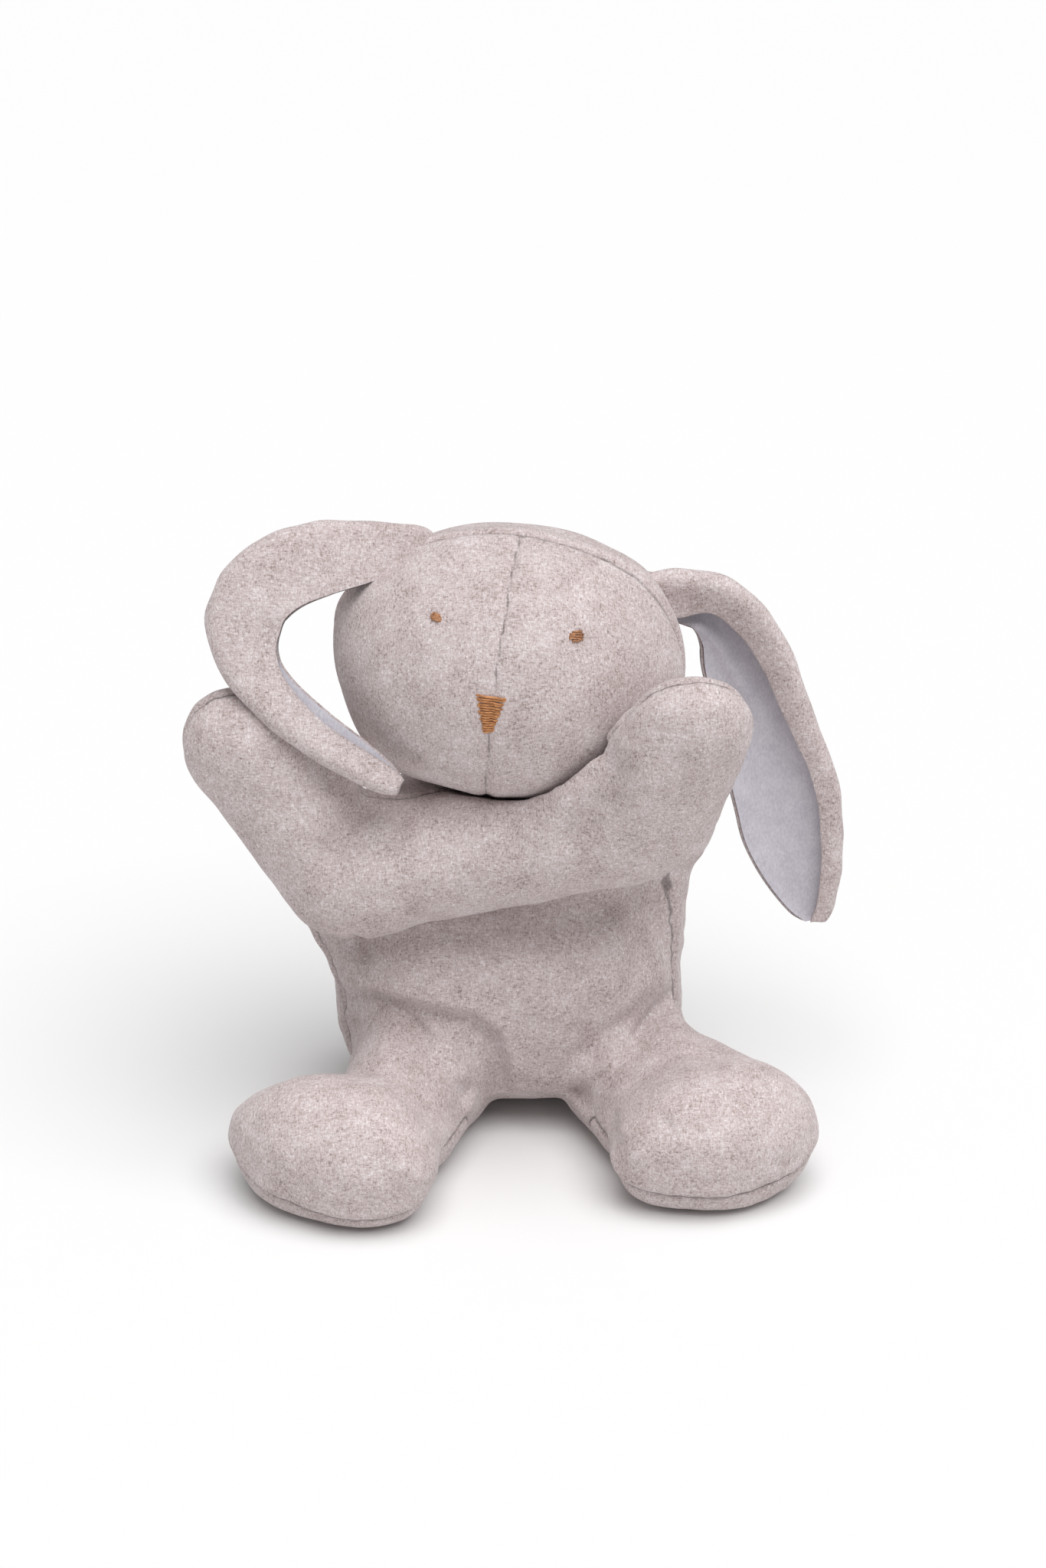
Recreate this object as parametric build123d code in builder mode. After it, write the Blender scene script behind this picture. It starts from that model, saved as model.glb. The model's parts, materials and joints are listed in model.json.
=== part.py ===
from build123d import *
import os
from math import cos, radians, sin, sqrt

# A rabbit glove puppet, sitting with its arms raised. Millimetres, +Z up, face towards -Y,
# +X to the right as its face is seen. The origin is on the floor, at the middle of the seat.

# ---- cloth, stuffing and clearances -------------------------------------------------
CLOTH = 2.0          # wool fleece, one layer
LINING = 1.0         # smooth cotton inside the ears
SEAM = 0.1           # half of the hairline between two panels sewn together
GAP = 0.5            # room between pieces that move past each other
END_FLAT = 3.0       # degrees of an egg's end that are flat, where its cloth is gathered

# ---- head: an egg lying on its side -------------------------------------------------
HEAD_CENTRE = (0, -20, 184)
HEAD_HALF_WIDTH = 62.5
HEAD_HALF_HEIGHT = 49.0
HEAD_TURN = 6.0      # the face looks a little to its own right
HEAD_TILT = 6.0      # and leans a little to its own left
EYE_SPREAD = 24.5    # from the middle of the face
EYE_HEIGHT = 28.0    # above the middle of the head
EYE_RADIUS = 2.1
NOSE_TOP = 6.6
NOSE_BOTTOM = -6.0
NOSE_TOP_HALF = 4.7
NOSE_BOTTOM_HALF = 1.8
THREAD_HEIGHT = 0.9  # satin stitch stands this far off the cloth

# ---- neck and the pocket for one finger ---------------------------------------------
NECK = (0, -10, 146)
NECK_BALL = 24.0     # the neck cloth is a band of a ball, so the head can nod and turn on it
NECK_BAND_TOP = 3.0
NECK_BAND_BOTTOM = -14.0
POCKET_LEAN = 19.0   # the finger leans forward
POCKET_RADIUS = 11.0
POCKET_DEPTH = 45.0

# ---- ears -----------------------------------------------------------------------------
EAR_THICK = 2.4      # outer cloth
LEFT_EAR_ROOT = (-35, -14, 231)
LEFT_EAR_LEAN = -39.0    # its tip comes forward, onto the arm
RIGHT_EAR_ROOT = (57, -12, 217)
EAR_ROOT_RADIUS = 7.0

# ---- torso: ovals stacked up, as (height, half width, half depth, middle in y) --------
TORSO_OVALS = [
    (0, 50, 35, 0),
    (18, 59, 40, 0),
    (45, 62, 42, -2),
    (72, 59, 38, -3),
    (92, 57, 36, -9),
    (114, 61, 43, -22),
    (128, 52, 38, -20),
    (134, 35, 28, -14),
]
SIDE_SEAM_Y = -5.0
SEAT_THICK = 2.2
SEAT_BACK_EDGE = 26.0
OPENING_HALF_WIDTH = 37.0
OPENING_STRAIGHT = 26.0
OPENING_HEIGHT = 54.0
HEM_WIDTH = 9.0
HEM_FRONT = 5.0          # the hem's ends stop this far behind the middle of the seat

# ---- arms: flat mittens, one for the thumb and one for a finger -------------------------
ARM_HALF_THICK = 12.0
ARM_ROUND = 9.5          # how round their long edges are
ARM_BEHIND = 10.0        # how far the sleeve reaches back past the shoulder
LEFT_SHOULDER = (-46, -40, 112)
LEFT_ARM_ANGLE = 138.0   # from +X, turning up
LEFT_ARM_LENGTH = 57.0
LEFT_ARM_RADII = (26.0, 25.5)
LEFT_ARM_LEAN = 0.0
LEFT_ARM_DROP = 40.0
RIGHT_SHOULDER = (41, -51, 118)
RIGHT_ARM_ANGLE = 69.0
RIGHT_ARM_LENGTH = 63.0
RIGHT_ARM_RADII = (25.0, 20.5)
RIGHT_ARM_LEAN = 19.0
RIGHT_ARM_DROP = 50.0

# ---- legs: a stuffed thigh and a big soft foot ------------------------------------------
HIP_RADIUS = 20.0
THIGH_RADIUS = 18.0
HIP_SPREAD = 33.0
HIP_Y = -28.0
HIP_HEIGHT = 22.0
LEFT_FOOT = (-63, -80, 22)
LEFT_FOOT_HALF = 40.0
RIGHT_FOOT = (75, -76, 23)
RIGHT_FOOT_HALF = 37.0
FOOT_ROUND = 26.0
FOOT_SPLAY = 20.0
SOLE_SEAM = 9.0          # height of the seam round the sole
LEG_UP = 12.0
LEG_DOWN = 60.0

os.makedirs("parts", exist_ok=True)


# ---- planes that the pieces are drawn on --------------------------------------------------
def front_plane(origin, lean=0.0):
    """A plane seen from the front: x to the right, y up, leaning forward as it rises."""
    down = radians(lean)
    return Plane(origin=origin, x_dir=(1, 0, 0), z_dir=(0, -cos(down), -sin(down)))


HEAD_PLANE = front_plane(HEAD_CENTRE).rotated((0, -HEAD_TURN, -HEAD_TILT))
MIDDLE_PLANE = Plane(origin=HEAD_CENTRE, z_dir=HEAD_PLANE.x_dir)
CROWN_PLANE = Plane(origin=HEAD_CENTRE, z_dir=-HEAD_PLANE.z_dir)
LEFT_EAR_PLANE = front_plane(LEFT_EAR_ROOT, LEFT_EAR_LEAN)
RIGHT_EAR_PLANE = front_plane(RIGHT_EAR_ROOT)
LEFT_ARM_PLANE = front_plane(LEFT_SHOULDER, LEFT_ARM_LEAN)
RIGHT_ARM_PLANE = front_plane(RIGHT_SHOULDER, RIGHT_ARM_LEAN)
POCKET_PLANE = Plane(origin=NECK, z_dir=(0, -sin(radians(POCKET_LEAN)), cos(radians(POCKET_LEAN))))


def save(builder, name):
    """Name a finished piece and write it as its own node."""
    builder.part.label = name
    export_step(builder.part, f"parts/{name}.step")


# ---- solids that several pieces share -----------------------------------------------------
def ball(centre, radius):
    """A solid ball."""
    with BuildPart() as solid:
        with Locations(centre):
            Sphere(radius)
    return solid.part


def spun_egg(place, half_length, half_round):
    """A solid egg spun about its plane's x axis, with a small flat at each end."""
    end = radians(END_FLAT)
    flat_x, flat_y = half_length * cos(end), half_round * sin(end)
    with BuildPart() as egg:
        with BuildSketch(place):
            with BuildLine():
                EllipticalCenterArc((0, 0), half_length, half_round, END_FLAT, arc_size=180 - 2 * END_FLAT)
                Polyline((-flat_x, flat_y), (-flat_x, 0), (flat_x, 0), (flat_x, flat_y))
            make_face()
        revolve(axis=Axis(place.origin, place.x_dir))
    return egg.part


def head_solid(shrink):
    """The head's outer shape, smaller by shrink all round."""
    return spun_egg(HEAD_PLANE, HEAD_HALF_WIDTH - shrink, HEAD_HALF_HEIGHT - shrink)


def finger_space(radius, depth):
    """A round-ended finger hole that starts at the neck."""
    with BuildPart() as space:
        with BuildSketch(POCKET_PLANE):
            Circle(radius)
        extrude(amount=depth)
        with Locations(POCKET_PLANE.offset(depth).location):
            Sphere(radius)
    return space.part


def ear_slot(plane):
    """The slit in the head's seam that an ear's root sits in."""
    with BuildPart() as slot:
        with BuildSketch(plane):
            Circle(EAR_ROOT_RADIUS + GAP)
        extrude(amount=EAR_THICK + LINING + GAP, both=True)
    return slot.part


def head_shell():
    """The whole head skin, open at the neck and slit for the ears."""
    with BuildPart() as shell:
        add(head_solid(0))
        add(head_solid(CLOTH), mode=Mode.SUBTRACT)
        add(ball(NECK, NECK_BALL + GAP), mode=Mode.SUBTRACT)
        add(ear_slot(LEFT_EAR_PLANE), mode=Mode.SUBTRACT)
        add(ear_slot(RIGHT_EAR_PLANE), mode=Mode.SUBTRACT)
    return shell.part


def torso_solid(shrink):
    """The torso's outer shape through its ovals, smaller by shrink all round."""
    with BuildPart() as body:
        for height, half_width, half_depth, middle in TORSO_OVALS:
            inset = min(max(height, shrink), TORSO_OVALS[-1][0] - shrink)
            with BuildSketch(Plane.XY.offset(inset)):
                with Locations((0, middle)):
                    Ellipse(half_width - shrink, half_depth - shrink)
        loft()
    return body.part


def arm_solid(plane, angle, length, radii, shrink, half_thick):
    """A mitten: the outline round two circles, thickened both ways, its long edges rounded."""
    tip = (length * cos(radians(angle)), length * sin(radians(angle)))
    with BuildPart() as mitten:
        with BuildSketch(plane):
            Circle(radii[0] - shrink)
            with Locations(tip):
                Circle(radii[1] - shrink)
            make_hull()
        extrude(amount=half_thick, both=True)
        rims = mitten.faces().filter_by(Axis(plane.origin, plane.z_dir)).edges()
        fillet(rims, ARM_ROUND - shrink)
    return mitten.part


def armhole(plane, angle, length, radii, drop):
    """The room that a sleeve sweeps as the arm comes down by drop degrees."""
    reach = sqrt(ARM_BEHIND**2 + radii[0] ** 2) + GAP
    steps = 5
    with BuildPart() as room:
        for step in range(steps):
            turn = radians(angle + drop * step / (steps - 1))
            with BuildSketch(plane):
                Circle(reach)
                with Locations((length * cos(turn), length * sin(turn))):
                    Circle(radii[0] + GAP)
                make_hull()
            extrude(amount=ARM_HALF_THICK + GAP, both=True)
    return room.part


def leg_solid(hip, foot, foot_half, splay, shrink):
    """A ball at the hip, a thigh and an egg-shaped foot, cut flat where it stands."""
    foot_plane = Plane(origin=foot, x_dir=(cos(radians(splay)), sin(radians(splay)), 0))
    way = Vector(*foot) - Vector(*hip)
    with BuildPart() as leg:
        with Locations(hip):
            Sphere(HIP_RADIUS - shrink)
        with BuildSketch(Plane(origin=hip, z_dir=way)):
            Circle(THIGH_RADIUS - shrink)
        extrude(amount=way.length)
        add(spun_egg(foot_plane, foot_half - shrink, FOOT_ROUND - shrink))
        split(bisect_by=Plane.XY.offset(shrink), keep=Keep.TOP)
    return leg.part


def leg_room(hip, foot):
    """The room that a thigh sweeps through the torso's corner as the leg swings up and down."""
    outward = 1 if hip[0] > 0 else -1
    inner_side = Plane.YZ.offset(hip[0] - outward * (HIP_RADIUS + GAP))
    way = Vector(0, foot[1] - hip[1], foot[2] - hip[2])
    with BuildPart() as room:
        with BuildSketch(inner_side):
            with Locations((hip[1], hip[2])):
                Circle(HIP_RADIUS + GAP)
            for swing in (-LEG_UP, LEG_DOWN / 2, LEG_DOWN):
                turned = way.rotate(Axis.X, swing)
                with Locations((hip[1] + turned.Y, hip[2] + turned.Z)):
                    Circle(HIP_RADIUS + GAP)
            make_hull()
        extrude(amount=outward * HIP_SPREAD * 2)
    return room.part


def arch(grow, near_y):
    """The hand opening's arch, grown by grow, from near_y out through the back."""
    with BuildPart() as cut:
        with BuildSketch(Plane.XZ.offset(-near_y)):
            with BuildLine():
                half = OPENING_HALF_WIDTH + grow
                Polyline((half, OPENING_STRAIGHT), (half, -GAP), (-half, -GAP), (-half, OPENING_STRAIGHT))
                rise = OPENING_HEIGHT + grow - OPENING_STRAIGHT
                EllipticalCenterArc((0, OPENING_STRAIGHT), half, rise, arc_size=180)
            make_face()
        extrude(amount=-80)
    return cut.part


HIPS = {"left": (-HIP_SPREAD, HIP_Y, HIP_HEIGHT), "right": (HIP_SPREAD, HIP_Y, HIP_HEIGHT)}
FEET = {
    "left": (LEFT_FOOT, LEFT_FOOT_HALF, -FOOT_SPLAY),
    "right": (RIGHT_FOOT, RIGHT_FOOT_HALF, FOOT_SPLAY),
}
ARMS = {
    "left": (LEFT_ARM_PLANE, LEFT_ARM_ANGLE, LEFT_ARM_LENGTH, LEFT_ARM_RADII, LEFT_ARM_DROP),
    "right": (RIGHT_ARM_PLANE, RIGHT_ARM_ANGLE, RIGHT_ARM_LENGTH, RIGHT_ARM_RADII, -RIGHT_ARM_DROP),
}


def torso_shell():
    """The torso skin with its armholes, leg holes, neck hole and hand opening."""
    with BuildPart() as shell:
        add(torso_solid(0))
        add(torso_solid(CLOTH), mode=Mode.SUBTRACT)
        add(ball(NECK, NECK_BALL + GAP), mode=Mode.SUBTRACT)
        for arm in ARMS.values():
            add(armhole(*arm), mode=Mode.SUBTRACT)
        for side, hip in HIPS.items():
            add(leg_room(hip, FEET[side][0]), mode=Mode.SUBTRACT)
        add(arch(0, SEAT_BACK_EDGE), mode=Mode.SUBTRACT)
    return shell.part


# ---- torso ----------------------------------------------------------------------------------
skin = torso_shell()
side_plane = Plane.XZ.offset(-SIDE_SEAM_Y)
above_seat = Plane.XY.offset(SEAT_THICK + SEAM)

with BuildPart() as torso_front:
    add(skin)
    split(bisect_by=side_plane.offset(SEAM), keep=Keep.TOP)
    split(bisect_by=above_seat, keep=Keep.TOP)
save(torso_front, "torso_front")

with BuildPart() as torso_back:
    add(skin)
    split(bisect_by=side_plane.offset(-SEAM), keep=Keep.BOTTOM)
    split(bisect_by=above_seat, keep=Keep.TOP)
save(torso_back, "torso_back")

with BuildPart() as seat_panel:
    add(skin)
    split(bisect_by=Plane.XY.offset(SEAT_THICK - SEAM), keep=Keep.BOTTOM)
save(seat_panel, "seat_panel")

with BuildPart() as opening_hem:
    add(arch(HEM_WIDTH, HEM_FRONT))
    add(arch(0, 0), mode=Mode.SUBTRACT)
    add(torso_solid(CLOTH + 2 * SEAM), mode=Mode.INTERSECT)
    add(torso_solid(2 * CLOTH), mode=Mode.SUBTRACT)
    split(bisect_by=above_seat.offset(2 * SEAM), keep=Keep.TOP)
save(opening_hem, "opening_hem")

# ---- neck -----------------------------------------------------------------------------------
with BuildPart() as neck_sleeve:
    add(ball(NECK, NECK_BALL))
    add(ball(NECK, NECK_BALL - CLOTH), mode=Mode.SUBTRACT)
    split(bisect_by=Plane(NECK).offset(NECK_BAND_TOP), keep=Keep.BOTTOM)
    split(bisect_by=Plane(NECK).offset(NECK_BAND_BOTTOM), keep=Keep.TOP)
save(neck_sleeve, "neck_sleeve")

# ---- head -----------------------------------------------------------------------------------
head_skin = head_shell()

with BuildPart() as head_front_left:
    add(head_skin)
    split(bisect_by=CROWN_PLANE.offset(-SEAM), keep=Keep.BOTTOM)
    split(bisect_by=MIDDLE_PLANE.offset(-SEAM), keep=Keep.BOTTOM)
save(head_front_left, "head_front_left")

with BuildPart() as head_front_right:
    add(head_skin)
    split(bisect_by=CROWN_PLANE.offset(-SEAM), keep=Keep.BOTTOM)
    split(bisect_by=MIDDLE_PLANE.offset(SEAM), keep=Keep.TOP)
save(head_front_right, "head_front_right")

with BuildPart() as head_back:
    add(head_skin)
    split(bisect_by=CROWN_PLANE.offset(SEAM), keep=Keep.TOP)
save(head_back, "head_back")

with BuildPart() as head_stuffing:
    add(head_solid(CLOTH + 2 * SEAM))
    add(ball(NECK, NECK_BALL + GAP), mode=Mode.SUBTRACT)
    add(finger_space(POCKET_RADIUS + CLOTH + 2 * SEAM, POCKET_DEPTH), mode=Mode.SUBTRACT)
    add(ear_slot(LEFT_EAR_PLANE), mode=Mode.SUBTRACT)
    add(ear_slot(RIGHT_EAR_PLANE), mode=Mode.SUBTRACT)
save(head_stuffing, "head_stuffing")

with BuildPart() as finger_pocket:
    add(finger_space(POCKET_RADIUS + CLOTH, POCKET_DEPTH))
    add(finger_space(POCKET_RADIUS, POCKET_DEPTH), mode=Mode.SUBTRACT)
save(finger_pocket, "finger_pocket")

for name, side in (("left_eye", -1), ("right_eye", 1)):
    with BuildPart() as eye:
        with BuildSketch(HEAD_PLANE):
            with Locations((side * EYE_SPREAD, EYE_HEIGHT)):
                Circle(EYE_RADIUS)
        extrude(amount=HEAD_HALF_WIDTH)
        add(head_solid(-THREAD_HEIGHT), mode=Mode.INTERSECT)
        add(head_solid(0), mode=Mode.SUBTRACT)
    save(eye, name)

with BuildPart() as nose:
    with BuildSketch(HEAD_PLANE):
        Polygon((-NOSE_TOP_HALF, NOSE_TOP), (NOSE_TOP_HALF, NOSE_TOP),
                (NOSE_BOTTOM_HALF, NOSE_BOTTOM), (-NOSE_BOTTOM_HALF, NOSE_BOTTOM), align=None)
    extrude(amount=HEAD_HALF_WIDTH)
    add(head_solid(-THREAD_HEIGHT), mode=Mode.INTERSECT)
    add(head_solid(0), mode=Mode.SUBTRACT)
save(nose, "nose")


# ---- ears: an outer cloth and a smooth lining, sewn face to face ------------------------------
def left_ear_layer(near, far, shrink):
    """The curled ear's outline: out to the left, round, and back with its tip by the chin."""
    with BuildPart() as layer:
        with BuildSketch(LEFT_EAR_PLANE.offset(near)):
            Circle(EAR_ROOT_RADIUS - shrink)
            with BuildLine():
                Spline((0, EAR_ROOT_RADIUS - shrink), (-30 + shrink, 9 - shrink), (-66 + shrink, -26),
                       (-62 + shrink, -58), (-14, -86 + shrink), tangents=((-1, 0.3), (1, -0.45)))
                Line((-14, -86 + shrink), (-11 - shrink, -80))
                Spline((-11 - shrink, -80), (-36 + shrink, -62 + shrink), (-43 - shrink, -36),
                       (-24 - shrink, -13 + shrink), (0, -EAR_ROOT_RADIUS + shrink),
                       tangents=((-1, 0.9), (1, 0.25)))
                Line((0, -EAR_ROOT_RADIUS + shrink), (0, EAR_ROOT_RADIUS - shrink))
            make_face()
        extrude(amount=far - near)
    return layer.part


def right_ear_layer(near, far, shrink):
    """The hanging ear's outline: out over the shoulder and down to a soft point."""
    with BuildPart() as layer:
        with BuildSketch(RIGHT_EAR_PLANE.offset(near)):
            Circle(EAR_ROOT_RADIUS - shrink)
            with BuildLine():
                Spline((0, EAR_ROOT_RADIUS - shrink), (32 - shrink, -8 - shrink), (56 - shrink, -52),
                       (64 - shrink, -105), (55, -141 + shrink), tangents=((1, 0.1), (-0.6, -1)))
                Spline((55, -141 + shrink), (36 + shrink, -118), (21 + shrink, -72),
                       (17 + shrink, -32 - shrink), (0, -EAR_ROOT_RADIUS + shrink),
                       tangents=((-1, 0.5), (-1, 0.2)))
                Line((0, -EAR_ROOT_RADIUS + shrink), (0, EAR_ROOT_RADIUS - shrink))
            make_face()
        extrude(amount=far - near)
    return layer.part


with BuildPart() as left_ear_outer:
    add(left_ear_layer(0, EAR_THICK, 0))
save(left_ear_outer, "left_ear_outer")

with BuildPart() as left_ear_lining:
    add(left_ear_layer(-LINING - SEAM, -SEAM, 1))
save(left_ear_lining, "left_ear_lining")

with BuildPart() as right_ear_outer:
    add(right_ear_layer(-EAR_THICK, 0, 0))
save(right_ear_outer, "right_ear_outer")

with BuildPart() as right_ear_lining:
    add(right_ear_layer(SEAM, SEAM + LINING, 1))
save(right_ear_lining, "right_ear_lining")

# ---- arms -----------------------------------------------------------------------------------
for side, (plane, angle, length, radii, drop) in ARMS.items():
    along = (cos(radians(angle)), sin(radians(angle)))
    sleeve_end = Plane(origin=plane.from_local_coords((-ARM_BEHIND * along[0], -ARM_BEHIND * along[1], 0)),
                       z_dir=plane.from_local_coords((*along, 0)) - plane.origin)
    for layer, edge, keep in (("front", plane.offset(SEAM), Keep.TOP),
                              ("back", plane.offset(-SEAM), Keep.BOTTOM)):
        with BuildPart() as panel:
            add(arm_solid(plane, angle, length, radii, 0, ARM_HALF_THICK))
            add(arm_solid(plane, angle, length, radii, CLOTH, ARM_HALF_THICK - CLOTH), mode=Mode.SUBTRACT)
            split(bisect_by=sleeve_end, keep=Keep.TOP)
            split(bisect_by=edge, keep=keep)
        save(panel, f"{side}_arm_{layer}")

# ---- legs -----------------------------------------------------------------------------------
for side, hip in HIPS.items():
    foot, foot_half, splay = FEET[side]
    outside = leg_solid(hip, foot, foot_half, splay, 0)
    inside = leg_solid(hip, foot, foot_half, splay, CLOTH)
    for layer, height, keep in (("upper", SOLE_SEAM + SEAM, Keep.TOP),
                                ("sole", SOLE_SEAM - SEAM, Keep.BOTTOM)):
        with BuildPart() as panel:
            add(outside)
            add(inside, mode=Mode.SUBTRACT)
            split(bisect_by=Plane.XY.offset(height), keep=keep)
        save(panel, f"{side}_leg_{layer}")
    with BuildPart() as stuffing:
        add(leg_solid(hip, foot, foot_half, splay, CLOTH + 2 * SEAM))
    save(stuffing, f"{side}_leg_stuffing")
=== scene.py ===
import json
import math

import bpy
import numpy as np
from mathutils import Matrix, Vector


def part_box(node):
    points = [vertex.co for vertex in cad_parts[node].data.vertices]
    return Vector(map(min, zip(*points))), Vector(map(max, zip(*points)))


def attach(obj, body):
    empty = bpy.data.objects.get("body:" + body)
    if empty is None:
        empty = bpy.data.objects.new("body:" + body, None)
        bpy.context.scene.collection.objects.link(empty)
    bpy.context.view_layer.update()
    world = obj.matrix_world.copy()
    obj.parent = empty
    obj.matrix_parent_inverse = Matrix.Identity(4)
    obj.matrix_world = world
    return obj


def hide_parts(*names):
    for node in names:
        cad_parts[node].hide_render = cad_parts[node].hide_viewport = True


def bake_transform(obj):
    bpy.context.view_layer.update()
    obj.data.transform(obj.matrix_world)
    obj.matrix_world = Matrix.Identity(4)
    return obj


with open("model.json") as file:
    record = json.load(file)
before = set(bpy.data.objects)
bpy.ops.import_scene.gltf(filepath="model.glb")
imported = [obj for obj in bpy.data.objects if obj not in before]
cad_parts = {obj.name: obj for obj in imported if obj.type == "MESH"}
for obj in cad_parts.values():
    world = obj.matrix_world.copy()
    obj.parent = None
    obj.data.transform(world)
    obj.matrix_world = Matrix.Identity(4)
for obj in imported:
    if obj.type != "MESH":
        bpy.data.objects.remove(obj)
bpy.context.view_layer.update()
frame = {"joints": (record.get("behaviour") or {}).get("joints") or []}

# Everything below is in millimetres in the frame's own axes, and turned to metres when a mesh is made.
MM = 0.001
JOINTS = {joint["name"]: joint for joint in frame["joints"]}


def pivot(name):
    """A joint's place, in millimetres."""
    return np.array(JOINTS[name]["pos_m"]) / MM


def box_mm(*nodes):
    """The lowest and highest corners of some CAD nodes together, in millimetres."""
    corners = np.array([[list(low), list(high)] for low, high in map(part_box, nodes)]) / MM
    return corners[:, 0].min(axis=0), corners[:, 1].max(axis=0)


# ---- driving sizes --------------------------------------------------------------------
GRID = 1.3                # spacing of the points that a soft skin is made of
CLOTH = 2.2               # wool fleece, one layer
SEAM_DEEP = 1.3           # how far a seam pulls in
FACE_SEAM_WIDE = 1.2      # and over what width, seam by seam
CROWN_SEAM_WIDE = 1.5
BODY_SEAM_WIDE = 1.3
SEAM_ZERO = 1000.0        # the mesh attribute's value on a seam, so that 0 means there is none

head_low, head_high = box_mm("head_front_left", "head_front_right", "head_back")
HEAD = (head_low + head_high) / 2
HEAD_HALF = np.array([62.5, 49.0, 49.0])
CROWN_FORWARD = 1.0       # the crown seam lies this far in front of the middle of the head
FACE_SEAM_LEFT = 0.8      # and the face seam this far from the middle, towards the left ear
# Where the stuffing fills the head out: the place, how far out and how far around.
HEAD_FULLER = [((50, -12, 216), 3.3, 19.0), ((-61, -11, 204), 2.2, 12.0), ((28, -2, 229), 1.2, 14.0),
               ((-45, -32, 150), 3.6, 17.0)]
HEAD_TURN = math.radians(6)
HEAD_TILT = math.radians(6)
NECK = pivot("head_nod")
NECK_HOLE = 19.0          # radius of the hole in the top of the body
NECK_HOLE_FROM = 122.0    # it opens only what is above this height
HEAD_HOLE = 21.5          # radius of the hole under the head, about the neck's pivot


# ---- shapes as distances: negative inside, positive outside -------------------------------
def unit(v):
    """The vector made one long."""
    return np.asarray(v, float) / np.linalg.norm(v)


def blend_in(a, b, k):
    """Union of two shapes with a soft join of size k."""
    h = np.clip(0.5 + 0.5 * (b - a) / k, 0, 1)
    return b + (a - b) * h - k * h * (1 - h)


def keep_both(a, b, k):
    """The part inside both shapes, its new edge rounded by k."""
    return -blend_in(-a, -b, k)


def stretched(q, half):
    """Distance to an ellipsoid of these half sizes about the origin."""
    k0 = np.sqrt(((q / half) ** 2).sum(-1))
    k1 = np.sqrt(((q / half**2) ** 2).sum(-1)) + 1e-9
    return k0 * (k0 - 1) / k1


def limb(p, a, b, across, wide, thick):
    """A padded limb from a to b: oval in section, wide in its own plane and thick along across."""
    a, b, across = np.asarray(a, float), np.asarray(b, float), unit(across)
    axis = b - a
    t = np.clip((p - a) @ axis / (axis @ axis), 0, 1)
    q = p - (a + t[..., None] * axis)
    n = q @ across
    s = np.sqrt(np.maximum((q * q).sum(-1) - n * n, 0))
    r = wide[0] + (wide[1] - wide[0]) * t
    h = thick[0] + (thick[1] - thick[0]) * t
    k0 = np.sqrt((s / r) ** 2 + (n / h) ** 2)
    k1 = np.sqrt((s / r**2) ** 2 + (n / h**2) ** 2) + 1e-9
    return k0 * (k0 - 1) / k1


def smooth_curve(x, xs, ys):
    """Values of a smooth curve through the points (xs, ys)."""
    xs, ys = np.asarray(xs, float), np.asarray(ys, float)
    slope = np.gradient(ys, xs)
    x = np.clip(x, xs[0], xs[-1])
    i = np.clip(np.searchsorted(xs, x) - 1, 0, len(xs) - 2)
    w = xs[i + 1] - xs[i]
    t = (x - xs[i]) / w
    return (
        ys[i] * (1 + 2 * t) * (1 - t) ** 2
        + slope[i] * w * t * (1 - t) ** 2
        + ys[i + 1] * t * t * (3 - 2 * t)
        + slope[i + 1] * w * t * t * (t - 1)
    )


def waves(p, size, seed):
    """Gentle unevenness of the cloth, between about -1 and 1, with bumps of this size."""
    rng = np.random.default_rng(seed)
    total = np.zeros(p.shape[:-1])
    for _ in range(7):
        way = unit(rng.normal(size=3)) * (2 * math.pi / size) * rng.uniform(0.7, 1.4)
        total += np.sin(p @ way + rng.uniform(0, 2 * math.pi))
    return total / 3


def groove(distance, wide):
    """How deep a line is pressed in, from 1 on it to 0 away from it."""
    return np.exp(-((distance / wide) ** 2))


def line_distance(p, points):
    """Distance from each point to a bent line."""
    best = np.full(p.shape[:-1], 1e9)
    for a, b in zip(points[:-1], points[1:]):
        a, b = np.asarray(a, float), np.asarray(b, float)
        t = np.clip((p - a) @ (b - a) / ((b - a) @ (b - a)), 0, 1)
        q = p - (a + t[..., None] * (b - a))
        best = np.minimum(best, np.sqrt((q * q).sum(-1)))
    return best


def head_axes():
    """The head's own x (width), y (back) and z (up) as rows."""
    ct, st, cr, sr = math.cos(HEAD_TURN), math.sin(HEAD_TURN), math.cos(HEAD_TILT), math.sin(HEAD_TILT)
    x = np.array([ct * cr, -st, -sr * ct])
    x = unit(x)
    back = unit(np.array([st, ct, 0]) - x * (x @ np.array([st, ct, 0])))
    return np.array([x, back, np.cross(x, back)])


HEAD_AXES = head_axes()


def head_local(p):
    """Places in the head's own axes, from its middle."""
    return (p - HEAD) @ HEAD_AXES.T


def bumps(p, places):
    """How much a shape swells at each of these places."""
    return sum(out * np.exp(-((p - np.array(at)) ** 2).sum(-1) / size**2) for at, out, size in places)


def head_bare(p):
    """The head without its seams."""
    return stretched(head_local(p), HEAD_HALF) - bumps(p, HEAD_FULLER)


def head_seams(p):
    """Signed distances to the seam down the middle of the face and to the one over the crown."""
    q = head_local(p)
    return q[..., 0] + 0.25 * waves(p, 14, 9) + FACE_SEAM_LEFT, q[..., 1] + CROWN_FORWARD


def head_seam(p):
    """Distance to the nearer of the head's seams, the crown's drawn the wider of the two."""
    middle, crown = np.abs(head_seams(p))
    return np.where(head_seams(p)[1] < 0, np.minimum(middle, 0.6 * crown), 0.6 * crown)


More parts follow.
